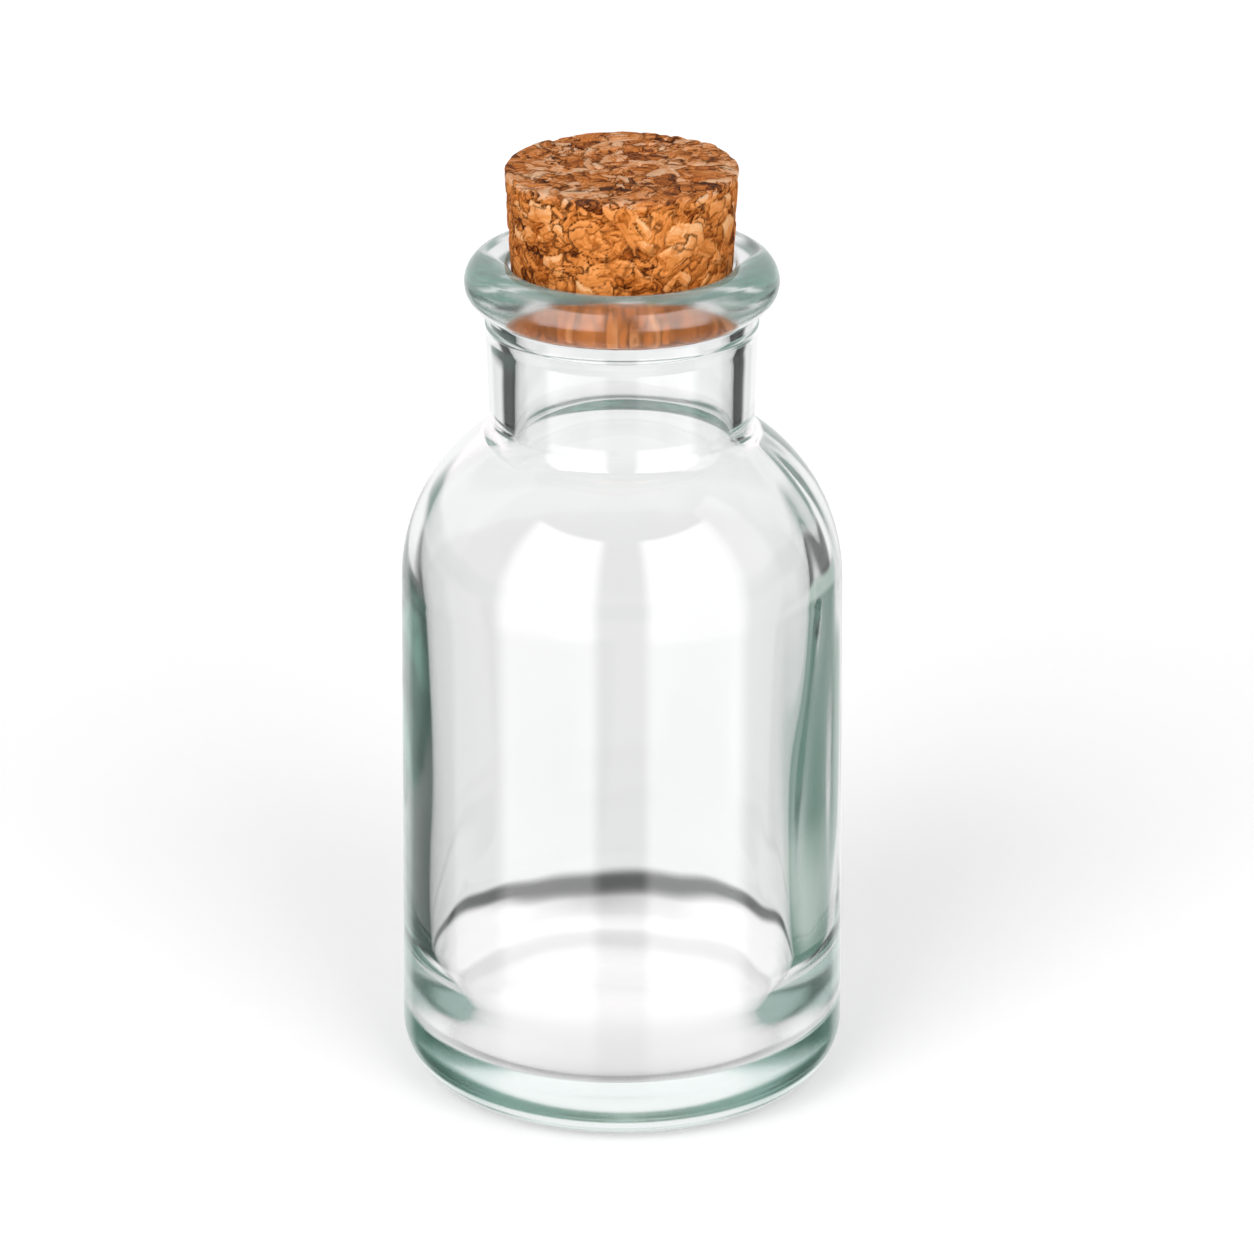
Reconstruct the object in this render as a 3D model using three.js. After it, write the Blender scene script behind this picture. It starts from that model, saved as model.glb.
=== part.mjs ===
// A small corked bottle: a thick-walled bottle of pressed and blown glass, and the tapered stopper of
// pressed cork granules that closes it. Millimetres, +Z up. The origin is on the bottle's axis, in the
// plane that the bottle stands on. Both pieces are turned about +Z.

import * as THREE from 'three';

// Bottle body
const BODY_RADIUS = 24.0;         // outside, at the top of the heel
const BODY_DRAFT = 0.25;          // how much narrower the body is where the shoulder starts
const BODY_HEIGHT = 57.2;         // standing plane to the start of the shoulder
const BODY_WALL = 3.4;
const BASE_THICKNESS = 6.7;       // standing plane to the inside floor
const HEEL_RADIUS = 6.3;          // outside corner between base and body
const INNER_HEEL_RADIUS = 4.5;    // inside corner between floor and wall
const BEARING_WIDTH = 4.5;        // flat ring that the bottle stands on
const PUSH_UP = 1.0;              // rise of the base's middle above the ring

// Shoulder and neck
const SHOULDER_RADIUS = 20.0;     // outside arc from the body to the neck
const NECK_FILLET = 2.4;          // outside hollow between shoulder and neck
const BORE_RADIUS = 12.2;
const NECK_WALL = 2.0;            // at the foot of the neck
const NECK_FLARE = 0.4;           // how much wider the neck is under the lip
const NECK_LENGTH = 12.5;         // end of the fillet to the underside of the lip

// Lip, a round bead
const LIP_TUBE_RADIUS = 2.8;
const LIP_INSET = 0.6;            // the bead's ring lies this far inside the neck's outside

// Cork stopper
const CORK_CLEARANCE = 0.3;       // between cork and bore, at the mouth
const CORK_TAPER = 0.055;         // gain in radius for each millimetre of height
const CORK_LENGTH = 16.1;
const CORK_INSERT = 5.6;          // length of cork inside the bore
const CORK_EDGE_RADIUS = 0.5;

// Facets
const SIDES = 64;                 // round the axis, the same for both pieces, so that they nest
const CHORD_ERROR = 0.05;         // how far an outline's straight steps may stray from its arcs

// Points of a circular arc from angle `from` to angle `to`, both ends included. Angle 0 points outwards.
function arc(centreRadius, centreHeight, radius, from, to) {
  const largestStep = 2 * Math.acos(1 - CHORD_ERROR / radius);
  const steps = Math.max(2, Math.ceil(Math.abs(to - from) / largestStep));
  return Array.from({ length: steps + 1 }, (_, i) => {
    const angle = from + (to - from) * i / steps;
    return new THREE.Vector2(centreRadius + radius * Math.cos(angle), centreHeight + radius * Math.sin(angle));
  });
}

// The shoulder's outline: a round arc that leaves the wall upright at (wallRadius, wallHeight), then a
// hollow fillet that meets the upright neck at neckRadius. Returns its points, from the wall to the neck.
function shoulder(wallRadius, wallHeight, arcRadius, neckRadius, filletRadius) {
  const arcCentre = wallRadius - arcRadius;
  const filletCentre = neckRadius + filletRadius;
  const apart = arcRadius + filletRadius;
  const across = filletCentre - arcCentre;
  const up = Math.sqrt(apart ** 2 - across ** 2);
  const join = Math.atan2(up, across);
  return [
    ...arc(arcCentre, wallHeight, arcRadius, 0, join),
    ...arc(filletCentre, wallHeight + up, filletRadius, join + Math.PI, Math.PI).slice(1),
  ];
}

// A solid of revolution about +Z from an outline of (radius, height) points that starts and ends on the axis.
function turned(outline) {
  return new THREE.LatheGeometry(outline, SIDES).rotateX(Math.PI / 2);
}

const onAxis = (height) => new THREE.Vector2(0, height);
const QUARTER = Math.PI / 2;

// Heights and radii that follow from the sizes above
const shoulderRadius = BODY_RADIUS - BODY_DRAFT;
const neckRadius = BORE_RADIUS + NECK_WALL;
const outerShoulder = shoulder(shoulderRadius, BODY_HEIGHT, SHOULDER_RADIUS, neckRadius, NECK_FILLET);
const neckFoot = outerShoulder.at(-1).y;
const neckTopRadius = neckRadius + NECK_FLARE;
const lipCentreRadius = neckTopRadius - LIP_INSET;
const lipUnderside = neckFoot + NECK_LENGTH;
const underAngle = -Math.acos(LIP_INSET / LIP_TUBE_RADIUS);
const lipCentreHeight = lipUnderside - LIP_TUBE_RADIUS * Math.sin(underAngle);
const mouthAngle = Math.acos((BORE_RADIUS - lipCentreRadius) / LIP_TUBE_RADIUS);
const mouthHeight = lipCentreHeight + LIP_TUBE_RADIUS * Math.sin(mouthAngle);

// The bottle's outline runs from the middle of the base, up the outside, over the lip, down the bore and
// the inside, to the middle of the floor.
function glassOutline() {
  const ringOuter = BODY_RADIUS - HEEL_RADIUS;
  const ringInner = ringOuter - BEARING_WIDTH;
  const pushUpRadius = (ringInner ** 2 + PUSH_UP ** 2) / (2 * PUSH_UP);
  const pushUpAngle = Math.asin(ringInner / pushUpRadius);
  const innerRadius = BODY_RADIUS - BODY_WALL;
  const inside = shoulder(
    shoulderRadius - BODY_WALL, BODY_HEIGHT, SHOULDER_RADIUS - BODY_WALL, BORE_RADIUS, NECK_FILLET + NECK_WALL);
  return [
    onAxis(PUSH_UP),
    ...arc(0, PUSH_UP - pushUpRadius, pushUpRadius, QUARTER, QUARTER - pushUpAngle).slice(1),
    ...arc(ringOuter, HEEL_RADIUS, HEEL_RADIUS, -QUARTER, 0),
    ...outerShoulder,
    ...arc(lipCentreRadius, lipCentreHeight, LIP_TUBE_RADIUS, underAngle, mouthAngle),
    ...inside.reverse(),
    ...arc(innerRadius - INNER_HEEL_RADIUS, BASE_THICKNESS + INNER_HEEL_RADIUS, INNER_HEEL_RADIUS, 0, -QUARTER),
    onAxis(BASE_THICKNESS),
  ];
}

// The cork's outline: flat ends, a straight tapered side and rounded edges. The side passes the mouth of the
// bore with the clearance.
function corkOutline() {
  const foot = mouthHeight - CORK_INSERT;
  const top = foot + CORK_LENGTH;
  const radiusAt = (height) => BORE_RADIUS - CORK_CLEARANCE + CORK_TAPER * (height - mouthHeight);
  const lowEdge = foot + CORK_EDGE_RADIUS;
  const highEdge = top - CORK_EDGE_RADIUS;
  return [
    onAxis(foot),
    ...arc(radiusAt(lowEdge) - CORK_EDGE_RADIUS, lowEdge, CORK_EDGE_RADIUS, -QUARTER, 0),
    ...arc(radiusAt(highEdge) - CORK_EDGE_RADIUS, highEdge, CORK_EDGE_RADIUS, 0, QUARTER),
    onAxis(top),
  ];
}

const clearGlass = new THREE.MeshStandardMaterial({
  color: 0xdbe6e1, roughness: 0.04, metalness: 0, transparent: true, opacity: 0.35 });
const pressedCork = new THREE.MeshStandardMaterial({ color: 0xc98a4e, roughness: 0.9, metalness: 0 });

const bottle = new THREE.Group();

const glassBottle = new THREE.Mesh(turned(glassOutline()), clearGlass);
glassBottle.name = 'glass_bottle';
bottle.add(glassBottle);

const corkStopper = new THREE.Mesh(turned(corkOutline()), pressedCork);
corkStopper.name = 'cork_stopper';
bottle.add(corkStopper);

export default bottle;
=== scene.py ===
import math

import bpy
import numpy as np
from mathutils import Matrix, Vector


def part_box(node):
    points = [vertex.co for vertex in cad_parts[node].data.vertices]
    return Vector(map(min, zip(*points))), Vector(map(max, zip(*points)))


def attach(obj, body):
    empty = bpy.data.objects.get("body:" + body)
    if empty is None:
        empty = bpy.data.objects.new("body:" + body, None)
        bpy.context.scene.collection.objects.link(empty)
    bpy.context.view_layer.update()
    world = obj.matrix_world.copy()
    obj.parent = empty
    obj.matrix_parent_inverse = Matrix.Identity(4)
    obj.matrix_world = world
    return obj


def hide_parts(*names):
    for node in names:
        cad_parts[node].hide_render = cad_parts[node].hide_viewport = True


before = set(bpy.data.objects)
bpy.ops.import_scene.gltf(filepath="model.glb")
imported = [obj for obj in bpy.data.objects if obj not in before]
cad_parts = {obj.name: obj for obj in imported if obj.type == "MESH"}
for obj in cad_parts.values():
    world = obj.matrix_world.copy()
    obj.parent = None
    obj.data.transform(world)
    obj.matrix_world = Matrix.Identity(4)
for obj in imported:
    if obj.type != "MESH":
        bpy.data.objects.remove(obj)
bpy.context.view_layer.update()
scene = bpy.context.scene
scene.view_settings.view_transform = "Standard"
scene.cycles.max_bounces = 40          # light is reflected many times inside thick glass before it leaves
scene.cycles.glossy_bounces = 32
scene.cycles.transmission_bounces = 32


# Camera
# A long lens that looks down at the bottle from the front, in a square frame of 1254 by 1254 pixels. It was
# fitted to the rings of the cork, the lip, the neck and the base.
mm = 0.001
frame_pixels = 1254
look_down = math.radians(21.07)
camera_distance = 900 * mm
pixels_per_mm = 9.254                  # at the aim point
aim = Vector((0.54, 0, 51.22)) * mm    # the bottle stands a little left of the middle

lens = bpy.data.cameras.new("photo_lens")
lens.sensor_width = 36
lens.lens = lens.sensor_width * pixels_per_mm * (camera_distance / mm) / frame_pixels
lens.clip_start, lens.clip_end = 0.01, 50
camera = bpy.data.objects.new("photo_camera", lens)
towards_camera = Vector((0, -math.cos(look_down), math.sin(look_down)))
camera.location = aim + camera_distance * towards_camera
camera.rotation_euler = (math.pi / 2 - look_down, 0, 0)
scene.collection.objects.link(camera)
scene.camera = camera


# Glass bottle
# One piece of clear soda-lime glass, pressed and blown in a mould: a thick base, an uneven wall, a round
# shoulder, a short neck with the mould's seam round it, and a fire-polished bead for a lip. Sizes are in mm.
glass_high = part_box("glass_bottle")[1]

body_radius = glass_high.x / mm
body_draft = 0.25                # how much narrower the body is where the shoulder starts
body_height = 57.2
body_wall = 3.05                 # the even wall, before it swells
base_thickness = 6.2
heel_radius = 6.3
inner_heel_radius = 2.0
bearing_width = 4.5              # the flat ring that the bottle stands on
push_up = 0.3
shoulder_arc = 20.0
shoulder_wall = 2.2
neck_fillet = 2.4
inner_neck_fillet = 4.0
neck_wall = 2.0
neck_flare = 0.4
neck_length = 12.5
bore_radius = 12.2               # at the mouth
neck_bore = 11.6                 # below the cork
bore_flare_height = 85           # from here up the bore widens to the mouth
seam_height = 86.25              # the mould's seam round the neck, a thread of glass
seam_tube = 0.35
seam_proud = 0.1
lip_tube = 2.8
lip_inset = 0.6
parting_turn = 50                # the mould's parting line round the lip's bead, in degrees
parting_width = 2.5
parting_proud = 0.02
glass_sides = 288


def arc(centre, radius, start, end, count):
    """Points on a circle about centre, a (radius, height) pair, from angle start to angle end in degrees:
    centre plus radius times the cosine and sine. Angle 0 points away from the axis."""
    angle = np.radians(np.linspace(start, end, count))
    return np.stack([centre[0] + radius * np.cos(angle), centre[1] + radius * np.sin(angle)], 1)


def line(start, end, count):
    """Points spread evenly from start to end, both (radius, height) pairs, without the two ends."""
    share = np.linspace(0, 1, count + 2)[1:-1, None]
    return np.array(start) * (1 - share) + np.array(end) * share


def shoulder(wall_radius, wall_height, arc_radius, neck_radius, fillet, count):
    """A round arc that leaves the upright wall, then a hollow fillet that meets the upright neck. The two
    circles touch where the line between their centres crosses them."""
    centre = np.array([wall_radius - arc_radius, wall_height])
    across = neck_radius + fillet - centre[0]
    up = math.sqrt((arc_radius + fillet) ** 2 - across ** 2)
    join = math.degrees(math.atan2(up, across))
    convex = arc(centre, arc_radius, 0, join, count)
    hollow = arc((neck_radius + fillet, wall_height + up), fillet, join + 180, 180, count // 2)
    return np.concatenate([convex, hollow[1:]])


def closed_skin(name, points):
    """A closed mesh from a grid of points, rows by columns. Columns go once round +Z and meet again. The
    first and the last row are single points on the axis, joined to their neighbours by triangles."""
    rows, columns = points.shape[:2]
    ring = np.arange((rows - 2) * columns).reshape(rows - 2, columns) + 1
    after = np.roll(ring, -1, 1)
    quads = np.stack([ring[:-1], after[:-1], after[1:], ring[1:]], -1).reshape(-1, 4)
    last = ring.max() + 1
    start = np.stack([np.zeros(columns, int), after[0], ring[0]], -1)
    end = np.stack([ring[-1], after[-1], np.full(columns, last)], -1)
    places = np.concatenate([points[0, :1], points[1:-1].reshape(-1, 3), points[-1, :1]])
    mesh = bpy.data.meshes.new(name)
    mesh.from_pydata(places.tolist(), [], start.tolist() + quads.tolist() + end.tolist())
    mesh.shade_smooth()
    piece = bpy.data.objects.new(name, mesh)
    scene.collection.objects.link(piece)
    return piece


shoulder_radius = body_radius - body_draft
neck_radius = bore_radius + neck_wall
inner_radius = body_radius - body_wall
ring_outer = body_radius - heel_radius
ring_inner = ring_outer - bearing_width
push_up_arc = (ring_inner ** 2 + push_up ** 2) / (2 * push_up)
push_up_turn = math.degrees(math.asin(ring_inner / push_up_arc))
outer_shoulder = shoulder(shoulder_radius, body_height, shoulder_arc, neck_radius, neck_fillet, count=40)
inner_shoulder = shoulder(
    shoulder_radius - shoulder_wall, body_height, shoulder_arc - shoulder_wall, neck_bore, inner_neck_fillet,
    count=48)
neck_foot = outer_shoulder[-1, 1]
neck_top_radius = neck_radius + neck_flare
lip_ring = neck_top_radius - lip_inset
lip_under = -math.degrees(math.acos(lip_inset / lip_tube))
lip_foot = np.array([neck_top_radius, neck_foot + neck_length])
lip_height = neck_foot + neck_length - lip_tube * math.sin(math.radians(lip_under))
mouth_turn = math.degrees(math.acos((bore_radius - lip_ring) / lip_tube))
mouth_height = lip_height + lip_tube * math.sin(math.radians(mouth_turn))

base_outline = np.concatenate([
    arc((0, push_up - push_up_arc), push_up_arc, 90, 90 - push_up_turn, count=10),
    line((ring_inner, 0), (ring_outer, 0), count=4),
    arc((ring_outer, heel_radius), heel_radius, -90, 0, count=20)])
seam_radius = neck_radius + neck_flare * (seam_height - neck_foot) / neck_length
seam_open = math.degrees(math.acos(1 - seam_proud / seam_tube))
seam = arc((seam_radius + seam_proud - seam_tube, seam_height), seam_tube, -seam_open, seam_open, count=7)
outer_outline = np.concatenate([
    line(base_outline[-1], outer_shoulder[0], count=24),
    outer_shoulder,
    line(outer_shoulder[-1], seam[0], count=8),
    seam,
    line(seam[-1], lip_foot, count=3)])
lip_turn = np.linspace(lip_under, mouth_turn, 48)
lip_bead = lip_tube + parting_proud * np.exp(-((lip_turn - parting_turn) / parting_width) ** 2)
lip_across = lip_ring + lip_bead * np.cos(np.radians(lip_turn))
lip_up = lip_height + lip_bead * np.sin(np.radians(lip_turn))
lip_outline = np.stack([lip_across, lip_up], 1)
inner_corner_centre = (inner_radius - inner_heel_radius, base_thickness + inner_heel_radius)
inner_corner = arc(inner_corner_centre, inner_heel_radius, 0, -90, count=20)
inner_outline = np.concatenate([
    line(lip_outline[-1], (neck_bore, bore_flare_height), count=9),
    line((neck_bore, bore_flare_height), inner_shoulder[-1], count=10),
    inner_shoulder[::-1],
    line(inner_shoulder[0], inner_corner[0], count=30),
    inner_corner,
    line(inner_corner[-1], (0, base_thickness), count=12),
    np.array([[0, base_thickness]])])
outline = np.concatenate([base_outline, outer_outline, lip_outline, inner_outline])

# The uneven inside. Depths are in mm, and pairs are the heights or radii between which a change comes in.
wall_gain, wall_gain_heights = 0.75, (66, 30)         # the wall gets thicker from the shoulder down
cavity_shift, cavity_heights = 0.45, (76, 66)         # the cavity lies left of the axis, up to the shoulder
foot_gain, foot_heights = 1.2, (16.5, 9.0)            # its foot narrows
neck_shift = 0.15                                     # the bore lies right of the axis
neck_low, neck_high = (70, 76), (88, 81)
floor_radii, floor_heights = (4, 18), (20, 30)        # the middle of the floor stays even
broad_waves, broad_heights = [(0.12, 5, 14, 1.0), (0.08, 7, -19, 0.0)], (14, 28)
fine_waves, fine_heights = [(0.026, 17, 9, 0.0), (0.018, 23, -12, 2.0)], (14, 24)
broad_at_floor = 0.3                                  # share of the broad waves that is left at the floor
waves_even, waves_right = 0.6, 0.4                    # the waves are deepest on the right


def smooth(value, start, end):
    """0 up to start, 1 from end on, and the smooth step 3 s^2 - 2 s^3 between them."""
    share = np.clip((value - start) / (end - start), 0, 1)
    return share * share * (3 - 2 * share)


def upright_waves(waves, height, turn):
    """A sum of sine waves round the axis. Each wave has its depth, its number in a full turn, the height over
    which it twists by one radian, and its phase."""
    return sum(
        depth * np.sin(number * turn + height / twist + phase) for depth, number, twist, phase in waves)


def inner_swell(radius, height, turn):
    """How far the glass swells inwards from the even wall, in mm: the wall's gain down the body, the cavity's
    shift times the cosine of the turn, the waves, the gain at the foot and the bore's shift, all of them
    faded out towards the middle of the floor."""
    broad = upright_waves(broad_waves, height, turn)
    broad = broad * (broad_at_floor + (1 - broad_at_floor) * smooth(height, *broad_heights))
    fine = upright_waves(fine_waves, height, turn) * smooth(height, *fine_heights)
    waves = (broad + fine) * (waves_even + waves_right * np.cos(turn))
    body = wall_gain * smooth(height, *wall_gain_heights) + cavity_shift * np.cos(turn) + waves
    foot = foot_gain * smooth(height, *foot_heights)
    neck = -neck_shift * np.cos(turn) * smooth(height, *neck_low) * smooth(height, *neck_high)
    off_floor = np.maximum(smooth(radius, *floor_radii), smooth(height, *floor_heights))
    return (body * smooth(height, *cavity_heights) + foot + neck) * off_floor


turn = np.linspace(0, 2 * np.pi, glass_sides, endpoint=False)
glass_radius = np.repeat(outline[:, :1], glass_sides, 1)
glass_height = np.repeat(outline[:, 1:], glass_sides, 1)
inside = len(outline) - len(inner_outline)
glass_radius[inside:] -= inner_swell(glass_radius[inside:], glass_height[inside:], turn)
glass_points = np.stack([glass_radius * np.cos(turn), glass_radius * np.sin(turn), glass_height], -1) * mm
glass = closed_skin("bottle_glass", glass_points)


class Shade:
    """A value in a shader. It wraps one output of a node, and arithmetic on it adds Math nodes."""

    def __init__(self, tree, output=None):
        self.tree = tree
        self.output = output

    def node(self, kind, inputs=None, output=0, stops=(), **settings):
        """Adds a node and wraps one of its outputs. Its settings and a colour ramp's stops, which run from
        0 to 1, are set first, and then the values or links of its sockets."""
        made = self.tree.nodes.new("ShaderNode" + kind)
        for name, value in settings.items():
            setattr(made, name, value)
        for place, _ in stops[1:-1]:
            made.color_ramp.elements.new(place)
        for stop, (_, colour) in enumerate(stops):
            made.color_ramp.elements[stop].color = (*colour, 1)
        for name, value in (inputs or {}).items():
            if isinstance(value, Shade):
                self.tree.links.new(value.output, made.inputs[name])
            else:
                made.inputs[name].default_value = value
        return Shade(self.tree, made.outputs[output] if made.outputs else None)

    def outlets(self, *names):
        """Outputs of the node that this value comes from."""
        return [Shade(self.tree, self.output.node.outputs[name]) for name in names]

    def math(self, operation, *others):
        """A Math node on this value and others."""
        return self.node("Math", dict(enumerate((self, *others))), operation=operation)

    def __add__(self, other):
        return self.math("ADD", other)

    def __sub__(self, other):
        return self.math("SUBTRACT", other)

    def __rsub__(self, other):
        return self.node("Math", {0: other, 1: self}, operation="SUBTRACT")

    def __mul__(self, other):
        return self.math("MULTIPLY", other)

    __radd__ = __add__
    __rmul__ = __mul__

    def rise(self, start, end):
        """0 up to start, 1 from end on, and a smooth step between them. It falls where end is below start."""
        low, high = min(start, end), max(start, end)
        step = self.node(
            "MapRange", {"Value": self, "From Min": low, "From Max": high}, interpolation_type="SMOOTHSTEP")
        return step if start < end else 1 - step

    def blend(self, start, end):
        """The colour start where this value is 0, the colour end where it is 1, and their mixture between. A
        Mix node's colours are its sockets 6 and 7 and its output 2."""
        return self.node("Mix", {"Factor": self, 6: start, 7: end}, output=2, data_type="RGBA")


def empty_finish(name):
    """A new material without nodes, and a Shade that adds nodes to it."""
    material = bpy.data.materials.new(name)
    material.use_nodes = True
    material.node_tree.nodes.clear()
    return material, Shade(material.node_tree)


glass_white = (1, 1, 1, 1)
glass_tint, tint_density = (0.25, 0.75, 0.62, 1), 6
glass_index = 1.52
polish = 0.03
lip_haze, lip_haze_heights = 0.13, (88.5 * mm, 90.5 * mm)
heel_haze, heel_haze_heights = 0.08, (18 * mm, 8 * mm)

clear_glass, melt = empty_finish("clear_glass")
melt_height = melt.node("SeparateXYZ", {"Vector": melt.node("TexCoord", output="Object")}, output="Z")
haze = melt_height.rise(*lip_haze_heights) * lip_haze + melt_height.rise(*heel_haze_heights) * heel_haze
glass_shader = melt.node("BsdfPrincipled", {
    "Base Color": glass_white, "Roughness": haze + polish, "IOR": glass_index, "Transmission Weight": 1})
tint = melt.node("VolumeAbsorption", {"Color": glass_tint, "Density": tint_density})
melt.node("OutputMaterial", {"Surface": glass_shader, "Volume": tint})
glass.data.materials.append(clear_glass)
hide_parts("glass_bottle")
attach(glass, "bottle")


# Cork stopper
# A tapered plug, moulded from cork chips that are pressed together with a binder and then cut to length. The
# chips lie flat against its faces and over each other, with shadowed edges, small open pits and some bits of
# dark bark. Sizes are in mm.
cork_low, cork_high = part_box("cork_stopper")

foot_lift = 0.5                                         # its foot shows this much above the solid's
cork_foot = cork_low.z / mm + foot_lift
cork_top = cork_high.z / mm
cork_top_radius = cork_high.x / mm
cork_taper = 0.055                                      # gain in radius for each millimetre of height
cork_edge = 0.3
cork_columns = 512
cork_seed = 11
chip_count = 2700
chip_length, chip_width, chip_reach = 1.65, 0.74, 1.5   # half sizes; chip_reach is across the surface
chip_spread = 0.36                                      # of the logarithm of their sizes
chip_widths = (0.6, 1.35)                               # least and most, in ordinary widths
chip_steps = 0.30                                       # how far chips lie above and below each other
chip_drop = 0.45                                        # from a chip's middle down to its edge
chip_slope = 0.09                                       # how far a chip's end tips up
chip_curve = 0.35                                       # how far a chip is bent sideways
chip_far = 3.5                                          # no chip shows farther than this from its middle
side_spin, level_spin = 0.55, 2.5                       # spread of their turn in radians, more on level faces
bark_share, bark_tone = 0.07, 0.45
sliver_share, sliver_tone = 0.04, 0.85
broad_warp, broad_warp_length, broad_warp_seeds = 0.16, 2.4, (1, 2, 3)   # how far the edges of chips wander
fine_warp, fine_warp_length, fine_warp_seeds = 0.05, 0.9, (4, 5, 6)
pit_count = 170
pit_depth = 0.45
pit_middle, pit_spread = 0.17, 0.35                     # their radius, and the spread of its logarithm
proudest = 0.1                                          # no chip stands out more than this
tiny = 1e-6                                             # keeps a slope off 0

cork_foot_radius = cork_top_radius - cork_taper * (cork_top - cork_foot)
foot_edge = arc((cork_foot_radius - cork_edge, cork_foot + cork_edge), cork_edge, -90, 0, count=5)
top_edge = arc((cork_top_radius - cork_edge, cork_top - cork_edge), cork_edge, 0, 90, count=5)
cork_outline = np.concatenate([
    [[0, cork_foot]],
    line((0, cork_foot), foot_edge[0], count=12),
    foot_edge,
    line(foot_edge[-1], top_edge[0], count=98),
    top_edge,
    line(top_edge[-1], (0, cork_top), count=68),
    [[0, cork_top]]])


def around(outline, turn):
    """A surface of revolution: each (radius, height) row of an outline carried round +Z by some angles."""
    radius, height = outline[:, :1], outline[:, 1:]
    return np.stack([radius * np.cos(turn), radius * np.sin(turn), height + 0 * turn], -1)


def facing(outline):
    """Unit normals of an outline, as (radius, height) pairs: its direction turned outwards by 90 degrees."""
    along = np.gradient(outline, axis=0)
    normal = np.stack([along[:, 1], -along[:, 0]], 1)
    return normal / np.linalg.norm(normal, axis=1, keepdims=True)


def ripple(points, seed, length, waves=24):
    """Smooth noise of about unit spread: a sum of sine waves of about the given length, in random directions
    and phases."""
    rng = np.random.default_rng(seed)
    direction = rng.normal(size=(3, waves))
    direction /= np.linalg.norm(direction, axis=0)
    step = 2 * np.pi / (length * rng.uniform(0.7, 1.5, waves))
    phase = rng.uniform(0, 2 * np.pi, waves)
    return np.sin(points @ (direction * step) + phase).sum(-1) / math.sqrt(waves / 2)


def scatter(outline, normals, count, rng):
    """Random places on a surface of revolution, evenly by area, with the axes of a chip that lies flat there:
    its length and width, turned about the surface's normal by a normal spread, and the normal. The spread is
    small on an upright side, where chips settle level, and goes all round on a level face."""
    ring = outline[:, 0] * np.linalg.norm(np.gradient(outline, axis=0), axis=1)
    row = rng.choice(len(outline), count, p=ring / ring.sum())
    turn = rng.uniform(0, 2 * np.pi, (count, 1))
    place = around(outline[row], turn)[:, 0]
    up = around(normals[row], turn)[:, 0]
    side = np.concatenate([-np.sin(turn), np.cos(turn), 0 * turn], 1)
    spin = rng.normal(0, 1, (count, 1)) * (side_spin + level_spin * np.abs(up[:, 2:]))
    length = side * np.cos(spin) + np.cross(up, side) * np.sin(spin)
    return place, np.stack([length, np.cross(up, length), up], 1)


def lying(points, place, slopes, level, tilt, bend):
    """A chip's height over a point, and the height's gradient. The point's distances from the chip's middle
    along its three axes are measured in the chip's half sizes, and the second is shifted by the bend times
    the square of the first. The height is the chip's level, plus its tilt times the first distance, less the
    drop times the square of the sum of their cubes: flat, with a steep round edge."""
    away = np.einsum("...ai,...i->...a", slopes, points - place)
    along = away[..., 0].copy()
    away[..., 1] += bend * along ** 2
    cubes = (np.abs(away) ** 3).sum(-1)
    height = level + along * tilt - chip_drop * cubes ** 2
    pull = -6 * chip_drop * cubes[..., None] * away * np.abs(away)
    pull[..., 0] += tilt + 2 * bend * along * pull[..., 1]
    return height, np.einsum("...a,...ai->...i", pull, slopes)


def top_chips(points, chips, row_blocks=12, column_blocks=40):
    """The highest and the second highest chip at each point of a grid, worked out block by block of the grid
    with the chips that reach the block. The chips' first array is their places."""
    first = np.zeros(points.shape[:-1], int)
    second = np.zeros(points.shape[:-1], int)
    for rows in np.array_split(np.arange(points.shape[0]), row_blocks):
        for columns in np.array_split(np.arange(points.shape[1]), column_blocks):
            block = points[rows[0]:rows[-1] + 1, columns[0]:columns[-1] + 1].reshape(-1, 3)
            middle = block.mean(0)
            far = np.linalg.norm(block - middle, axis=1).max() + chip_far
            near = np.flatnonzero(np.linalg.norm(chips[0] - middle, axis=1) < far)
            height = lying(block[:, None], *(values[near] for values in chips))[0]
            order = np.argpartition(-height, 1, axis=1)[:, :2]
            pair = np.take_along_axis(height, order, 1)
            best = near[np.take_along_axis(order, (-pair).argsort(1), 1)]
            shape = (len(rows), len(columns))
            first[np.ix_(rows, columns)] = best[:, 0].reshape(shape)
            second[np.ix_(rows, columns)] = best[:, 1].reshape(shape)
    return first, second


cork_turn = np.linspace(0, 2 * np.pi, cork_columns, endpoint=False)
cork_normals = facing(cork_outline)
cork_points = around(cork_outline, cork_turn)
broad_bend = np.stack([ripple(cork_points, seed, broad_warp_length) for seed in broad_warp_seeds], -1)
fine_bend = np.stack([ripple(cork_points, seed, fine_warp_length) for seed in fine_warp_seeds], -1)
bent = cork_points + broad_warp * broad_bend + fine_warp * fine_bend

rng = np.random.default_rng(cork_seed)
chip_place, chip_axes = scatter(cork_outline, cork_normals, chip_count, rng)
chip_half = np.array([chip_length, chip_width, chip_reach]) * rng.lognormal(0, chip_spread, (chip_count, 1))
chip_half[:, 1] *= rng.uniform(*chip_widths, chip_count)
chip_half[:, 2] = chip_reach
chip_slopes = chip_axes / chip_half[..., None]
chip_level = rng.uniform(-chip_steps, 0, chip_count)
chip_tilt = rng.normal(0, chip_slope, chip_count)
chip_bend = rng.normal(0, chip_curve, chip_count)
sliver = rng.random(chip_count) < sliver_share
chip_level[sliver] = 0
chips = (chip_place, chip_slopes, chip_level, chip_tilt, chip_bend)
chip, under = top_chips(bent, chips)
chip_height, chip_pull = lying(bent, *(values[chip] for values in chips))
under_height, under_pull = lying(bent, *(values[under] for values in chips))
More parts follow.
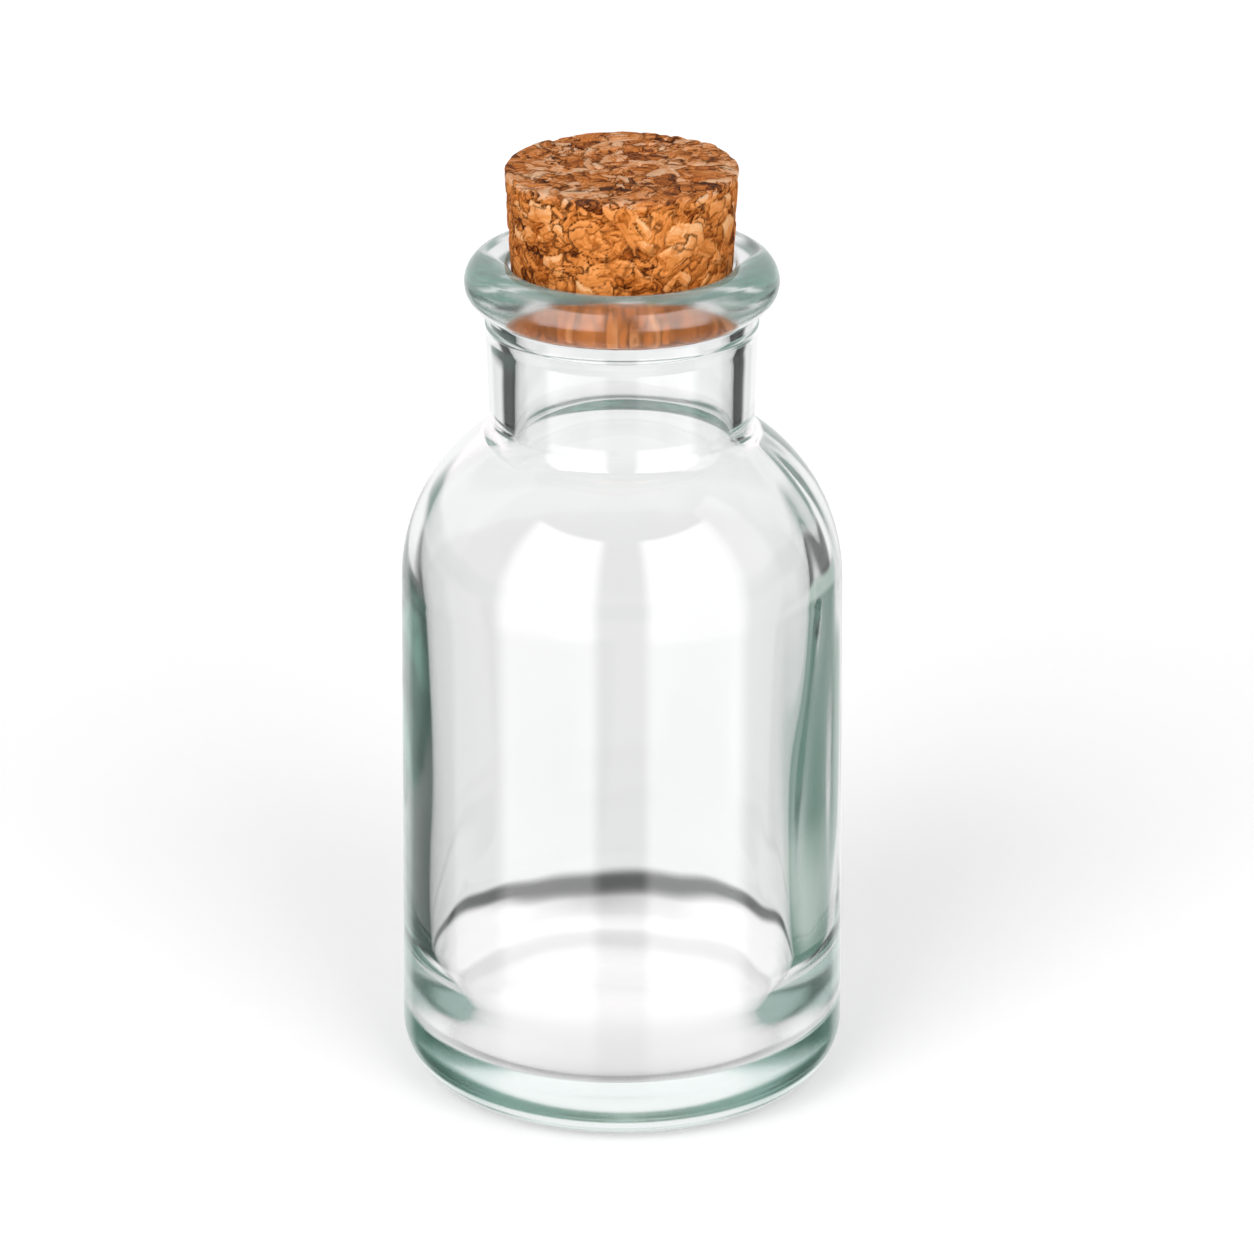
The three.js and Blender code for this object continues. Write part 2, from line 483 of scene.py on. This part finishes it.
to_edge = (chip_height - under_height) / (np.linalg.norm(chip_pull - under_pull, axis=-1) + tiny)
is_under = np.linalg.norm(under_pull, axis=-1) > np.linalg.norm(chip_pull, axis=-1)

pit_place, _ = scatter(cork_outline, cork_normals, pit_count, rng)
pit_radius = rng.lognormal(math.log(pit_middle), pit_spread, pit_count)
pit_away = np.linalg.norm(bent[..., None, :] - pit_place, axis=-1) / pit_radius
pit = np.exp(-pit_away.min(-1) ** 4)

lift = np.clip(chip_height, -pit_depth, proudest) - pit_depth * pit
cork_skin = cork_points + around(cork_normals, cork_turn) * lift[..., None]
cork = closed_skin("cork_plug", cork_skin * mm)

# The chips' tones, from 0 for dark to 1 for light, and the shade painted on them. Each chip is painted lighter
# along one edge and darker along the other, lighter above on the upright side as if lit from above, and darker
# towards one end. A chip is painted darker beside the chip that lies over it, with a painted shadow under that
# chip's edge and a thin dark rim on the upper chip. Widths are in mm.
middle_tone = 0.55
side_tones, level_tones = 0.09, 0.08                       # their spread, and what a level face adds to it
least_tone = 0.05
along_shading, across_shading = 0.08, 0.14
sliver_shading_width = 0.4                                 # the shading across a sliver, in its half widths
under_shading, under_width = 0.22, 0.45
under_shadow_width = 0.17                                  # the shadow that a chip casts on the chip under it
rim_shadow, rim_shadow_width = 0.6, 0.07                   # and the thin dark rim of the upper chip
grain_apart, grain_lots = 7.3, 97                          # sets the grain of one chip apart from the next


def keep(piece, name, grid):
    """Stores a number or a vector for each point of a closed grid, in the order of its piece's points."""
    values = np.concatenate([grid[0, :1], grid[1:-1].reshape((-1,) + grid.shape[2:]), grid[-1, :1]])
    kind, field = ("FLOAT_VECTOR", "vector") if grid.ndim == 3 else ("FLOAT", "value")
    piece.data.attributes.new(name, kind, "POINT").data.foreach_set(field, values.astype(np.float32).ravel())


chip_tone = rng.normal(0, 1, chip_count) * (side_tones + level_tones * np.abs(chip_axes[:, 2, 2]))
chip_tone = np.clip(middle_tone + chip_tone, least_tone, 1)
chip_tone[rng.random(chip_count) < bark_share] *= bark_tone
chip_tone[sliver] = sliver_tone
chip_local = np.einsum("...ai,...i->...a", chip_axes[chip], bent - chip_place[chip])
chip_shading = along_shading * np.clip(chip_local[..., 0] / chip_half[chip, 0], -1, 1)
shading_width = chip_half[:, 1] * np.where(sliver, sliver_shading_width, 1)
chip_shading += across_shading * np.clip(chip_local[..., 1] / shading_width[chip], -1, 1)
chip_shading -= under_shading * is_under * np.exp(-(to_edge / under_width) ** 2)
chip_local[..., 2] += grain_apart * (chip % grain_lots)
under_shadow = np.exp(-(to_edge / under_shadow_width) ** 2)
upper_shadow = rim_shadow * np.exp(-(to_edge / rim_shadow_width) ** 2)
# The stored tone is each chip's own tone with its painted shading added.
keep(cork, "chip_tone", chip_tone[chip] + chip_shading)
keep(cork, "chip_shadow", np.where(is_under, under_shadow, upper_shadow))
keep(cork, "chip_depth", np.clip(-lift / pit_depth, 0, 1))
keep(cork, "chip_local", chip_local)

cork_shades = [
    (0.0, (0.060, 0.014, 0.002)), (0.12, (0.19, 0.042, 0.004)), (0.28, (0.39, 0.098, 0.011)),
    (0.5, (0.64, 0.208, 0.042)), (0.72, (0.80, 0.30, 0.078)), (0.88, (0.84, 0.37, 0.135)),
    (1.0, (0.89, 0.48, 0.22))]
# Painted shade: the chips' painted shadows and the deep insides of the pits are mixed towards this dark brown.
painted_shade_brown = (0.020, 0.004, 0.001, 1)
painted_shadow_strength, painted_shadow_patches = 0.95, (0.34, 0.6)             # some stretches of the painted shadows are left out
pit_shade_depths = (0.75, 1.0)                               # painted shade deep in the pits, in pit depths
sawn_pale = (0.74, 0.53, 0.38, 1)                         # the sawn top, dry and dusty
sawn_heights = ((cork_top - 0.9) * mm, (cork_top - 0.3) * mm)
sawn_even, sawn_light, sawn_tones = 0.04, 0.5, (0.45, 0.85)
seated_light_orange, seated_share = (0.97, 0.28, 0.05, 1), 0.52   # painted light: a brighter, even orange where the cork sits in the neck, for the light that the glass keeps from it
seated_heights = ((mouth_height - 0.6) * mm, (mouth_height - 1.8) * mm)
grain_stretch = (0.45, 4.0, 1.0)                          # along, across and through a chip
speckle_scale, blotch_scale = 2600.0, 420.0               # for each metre
grain_tones, speckle_tones, blotch_tones = 0.7, 0.3, 0.2
grain_height, bump_strength, bump_distance = 0.6, 0.6, 0.12 * mm

pressed_cork, press = empty_finish("pressed_cork")
# The chips' tones with their painted shading added in.
tone_and_shading = press.node("Attribute", output="Fac", attribute_name="chip_tone")
shadow = press.node("Attribute", output="Fac", attribute_name="chip_shadow")
sunk = press.node("Attribute", output="Fac", attribute_name="chip_depth")
on_chip = press.node("Attribute", output="Vector", attribute_name="chip_local")
on_cork = press.node("TexCoord", output="Object")
stretched = press.node("VectorMath", {0: on_chip, 1: grain_stretch}, operation="MULTIPLY")
grain = press.node("TexNoise", {"Vector": stretched, "Scale": 1.0, "Detail": 3.0}, output="Fac")
speckle = press.node("TexNoise", {"Vector": on_cork, "Scale": speckle_scale, "Detail": 3.0}, output="Fac")
blotch = press.node("TexNoise", {"Vector": on_cork, "Scale": blotch_scale, "Detail": 2.0}, output="Fac")
tone_and_shading = tone_and_shading + (grain - 0.5) * grain_tones + (speckle - 0.5) * speckle_tones + (blotch - 0.5) * blotch_tones
press_height = press.node("SeparateXYZ", {"Vector": on_cork}, output="Z")
# Painted light: where the cork sits in the neck it turns a brighter, even orange.
seated_light = press_height.rise(*seated_heights) * seated_share
sawn = press_height.rise(*sawn_heights) * (sawn_even + sawn_light * tone_and_shading.rise(*sawn_tones))
# Painted shadows along the chips' edges, in patches and fainter in the neck, and painted shade deep in the
# pits.
painted_shade = shadow * blotch.rise(*painted_shadow_patches) * painted_shadow_strength * (1 - seated_light)
painted_shade = painted_shade.math("MAXIMUM", sunk.rise(*pit_shade_depths))
cork_colour = press.node("ValToRGB", {"Fac": tone_and_shading}, output="Color", stops=cork_shades)
cork_colour = seated_light.blend(cork_colour, seated_light_orange)
cork_colour = sawn.blend(cork_colour, sawn_pale)
cork_colour = painted_shade.blend(cork_colour, painted_shade_brown)
bump = press.node("Bump", {
    "Height": grain * grain_height + speckle, "Strength": bump_strength, "Distance": bump_distance})
cork_shader = press.node("BsdfPrincipled", {
    "Base Color": cork_colour, "Roughness": 0.85, "Specular IOR Level": 0.1, "Normal": bump})
press.node("OutputMaterial", {"Surface": cork_shader})
cork.data.materials.append(pressed_cork)
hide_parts("cork_stopper")
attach(cork, "stopper")


# Surround
# A white room with two tall soft boxes in front, one each side of the camera, and a narrow strip of light
# farther round on each side. Through the glass show pale paper behind the bottle, a grey-green card low on
# each side, and dusk beyond. Pairs are where a soft edge starts and ends, most of them in degrees.
soft_box, ambient = 4.1, 0.36                          # light on the cork and the floor
box_inner, box_outer = (9, 18), (72, 60)
lamp_outer, lamp_top, lamp_foot = (64, 34), (57, 54), (0, 14)
right_weaker, right_side = 0.32, (5, 40)
box_shine, low_shine = 5.4, 4.0                        # the boxes and their low ends as the glass mirrors them
shine_top, shine_foot, glow_top = (50, 47), (-23.7, -22.6), (-19, -9)
right_strip, left_strip = 1.3, 0.5
right_strip_near, right_strip_far, right_strip_foot = (64, 67), (95, 88), (-10, 20)
left_strip_near, left_strip_far, left_strip_foot = (-95, -100), (-145, -135), (-5, 15)
front_grey, front_to_back = 0.3, (0.2, 0.85)           # the glass mirrors grey in front; shares of depth
dark_card, dark_card_top = 0.7, (-9, -14)              # the cards as the glass mirrors them
dark_card_near, dark_card_far = (110, 122), (152, 140)
paper_low, paper_high, paper_top = (0.86, 0.845, 0.85, 1), (0.95, 0.94, 0.945, 1), (1.2, 1.09, 1.12, 1)
paper_change, top_foot, top_sides = (-21.5, -17.5), (2, 8), (36, 22)
green_dusk = (0.10, 0.19, 0.155, 1)
rim_foot, rim_top, rim_sides = (-8, -2), (10, 4), (14, 30)
upper_dusk, upper_foot, upper_sides = 0.6, (4, 20), (110, 150)
lower_top, lower_sides = (-36, -46), (26, 46)
deep_dusk, deep_turns = 0.5, (5.5, 10)                 # where the glass turned the light this many times
left_edge, left_card, left_change = (0.16, 0.225, 0.2, 1), (0.04, 0.065, 0.055, 1), (12, 30)
right_low, right_high, right_change = (0.14, 0.25, 0.205, 1), (0.45, 0.55, 0.50, 1), (-26, -22.6)
neck_card, neck_foot_up = (0.025, 0.025, 0.025, 1), (-20, -18)
to_right = (-0.05, 0.05)                               # shares of the way to the right
wall_turns = (4.8, 4.2)                                # light that the wall turns back turns fewer times
through_right, through_left, through_neck = (24, 34), (32, 42), (30, 40)
wall_right, wall_left = (18, 25), (1, 9)
card_far, card_foot, card_top = (78, 70), (-42, -34), (-3, -8)
card_through = 0.25                                    # how far the cards show straight through the bottle
degree = 180 / math.pi

surround = bpy.data.worlds.new("white_surround")
scene.world = surround
surround.use_nodes = True
surround.node_tree.nodes.clear()
sky = Shade(surround.node_tree)
x, y, z = sky.node("SeparateXYZ", {"Vector": sky.node("TexCoord", output="Generated")}).outlets("X", "Y", "Z")
camera_ray, glossy_ray, clear_ray, scattered, turns = sky.node("LightPath").outlets(
    "Is Camera Ray", "Is Glossy Ray", "Is Transmission Ray", "Diffuse Depth", "Ray Depth")
direct = 1 - scattered.math("MINIMUM", 1)
clear_ray = clear_ray * direct
mirror_ray = glossy_ray * (1 - clear_ray) * direct

# Angles of a direction: round from the front, the same without its sign, up from the level, off the line
# between front and back, and off the back
side = x.math("ARCTAN2", -1 * y) * degree
aside = side.math("ABSOLUTE")
up = z.math("ARCSINE") * degree
off_line = x.math("ARCTAN2", y.math("ABSOLUTE")).math("ABSOLUTE") * degree
behind = x.math("ARCTAN2", y).math("ABSOLUTE") * degree

# The soft boxes and strips, as lamps and as the glass mirrors them
box = aside.rise(*box_inner) * aside.rise(*box_outer)
lamps = box * aside.rise(*lamp_outer) * up.rise(*lamp_top) * up.rise(*lamp_foot)
lamps = lamps * (1 - right_weaker * side.rise(*right_side)) * soft_box
shine = box * up.rise(*shine_top) * up.rise(*shine_foot)
shine = shine * (low_shine + (box_shine - low_shine) * up.rise(*glow_top))
right_shine = side.rise(*right_strip_near) * side.rise(*right_strip_far) * up.rise(*right_strip_foot)
left_shine = side.rise(*left_strip_near) * side.rise(*left_strip_far) * up.rise(*left_strip_foot)
shine = shine + (right_shine * right_strip + left_shine * left_strip) * up.rise(*lamp_top)
card_mirrored = aside.rise(*dark_card_near) * aside.rise(*dark_card_far) * up.rise(*dark_card_top)
mirrored = front_grey + (1 - front_grey) * y.rise(*front_to_back)
mirrored = mirrored * (1 - dark_card * card_mirrored) + shine

# The paper, the dusk and the cards, as they show through the glass
at_neck = up.rise(*neck_foot_up)
on_right = x.rise(*to_right)
in_wall = turns.rise(*wall_turns)
through = off_line.rise(*through_right) * on_right + off_line.rise(*through_left) * (1 - on_right)
turned = off_line.rise(*wall_right) * on_right + off_line.rise(*wall_left) * (1 - on_right)
card = (through * (1 - in_wall) + turned * in_wall) * (1 - at_neck) + off_line.rise(*through_neck) * at_neck
card = card * (card_through + (1 - card_through) * in_wall)
card = card * off_line.rise(*card_far) * up.rise(*card_foot) * up.rise(*card_top)
top = up.rise(*top_foot) * behind.rise(*top_sides)
rim = up.rise(*rim_foot) * up.rise(*rim_top) * behind.rise(*rim_sides)
upper = up.rise(*upper_foot) * behind.rise(*upper_sides) * upper_dusk
lower = up.rise(*lower_top) * behind.rise(*lower_sides)
deep = turns.rise(*deep_turns) * (1 - top) * deep_dusk
dusk = rim.math("MAXIMUM", upper).math("MAXIMUM", lower).math("MAXIMUM", deep)
paper = top.blend(up.rise(*paper_change).blend(paper_low, paper_high), paper_top)
left_tone = off_line.rise(*left_change).blend(left_edge, left_card)
right_tone = up.rise(*right_change).blend(right_low, right_high)
card_tone = at_neck.blend(on_right.blend(left_tone, right_tone), neck_card)
refracted = card.blend(dusk.blend(paper, green_dusk), card_tone)

level = (ambient + lamps) * (1 - camera_ray) * (1 - mirror_ray) + camera_ray + mirror_ray * mirrored
sky.node("OutputWorld", {"Surface": sky.node("Background", {"Color": clear_ray.blend(level, refracted)})})


# Floor
# A wide white sheet that the bottle stands on. It keeps the bottle's shadow and shows white to the camera.
# The glass doesn't show it, because the surround and the lit plate stand in for it there.
floor_half = 4.0
floor_white = (0.9, 0.9, 0.9, 1)
black, floor_glow = (0, 0, 0, 1), (0.3, 0.3, 0.3, 1)


def stage_plate(name, half, height):
    """A square plate of the stage, level with the ground, with its own empty material."""
    mesh = bpy.data.meshes.new(name)
    corners = [(-half, -half, height), (half, -half, height), (half, half, height), (-half, half, height)]
    mesh.from_pydata(corners, [], [(0, 1, 2, 3)])
    plate = bpy.data.objects.new(name, mesh)
    scene.collection.objects.link(plate)
    finish, shade = empty_finish(name)
    mesh.materials.append(finish)
    return plate, shade


floor, sheet = stage_plate("white_floor", floor_half, 0)
to_camera = sheet.node("LightPath", output="Is Camera Ray")
matt = sheet.node("BsdfDiffuse", {"Color": floor_white})
glow = sheet.node("Emission", {"Color": to_camera.blend(black, floor_glow)})
sheet.node("OutputMaterial", {"Surface": sheet.node("AddShader", {0: matt, 1: glow})})
floor.visible_glossy = False
floor.visible_transmission = False


# Lit plate
# A sheet of light under the bottle, oval and brighter towards the back, that only the glass shows. It is what
# the thick base gathers from a white table. Pairs are where a soft edge starts and ends, most of them in mm.
plate_half, plate_height = 70 * mm, -0.1 * mm
plate_oval = (1.18, 1, 1)
plate_light = (1, 0.96, 0.97)
plate_edge, plate_front = (47.5, 44), (-34, -28)
front_light, back_gain, light_change = 0.42, 0.69, (-25.5, 4)
# Painted shade in the sheet of light: a dimmer oval band round the base, a dark ring behind the bottle that is
# its painted shadow on the table, and less light where the glass turned it many times.
dip, dip_inner, dip_outer = 0.24, (16, 28), (38, 31)
dark_ring, ring_from, ring_behind = 0.95, (39.5, 41.8), (6, 16)
deep_loss, deep_loss_turns = 0.75, (5.5, 7.5)          # where the glass turned the light this many times

footprint, lit = stage_plate("lit_footprint", plate_half, plate_height)
place = lit.node("TexCoord", output="Object")
on_plate = lit.node("VectorMath", {0: place, 1: plate_oval}, operation="MULTIPLY")
reach = lit.node("VectorMath", {0: on_plate}, output="Value", operation="LENGTH") * (1 / mm)
back = lit.node("SeparateXYZ", {"Vector": on_plate}, output="Y") * (1 / mm)
glass_turns = lit.node("LightPath", output="Ray Depth")
bright = front_light + back_gain * back.rise(*light_change)
bright = bright * (1 - dip * (reach.rise(*dip_inner) * reach.rise(*dip_outer)))
bright = bright * (1 - dark_ring * (reach.rise(*ring_from) * back.rise(*ring_behind)))
bright = bright * (1 - deep_loss * glass_turns.rise(*deep_loss_turns))
plate_colour = lit.node("VectorMath", {0: plate_light, "Scale": bright}, operation="SCALE")
pale = lit.node("Emission", {"Color": plate_colour})
shown = reach.rise(*plate_edge) * back.rise(*plate_front)
lit.node("OutputMaterial", {
    "Surface": lit.node("MixShader", {0: shown, 1: lit.node("BsdfTransparent"), 2: pale})})
footprint.visible_camera = False
footprint.visible_diffuse = False
footprint.visible_glossy = False
footprint.visible_shadow = False
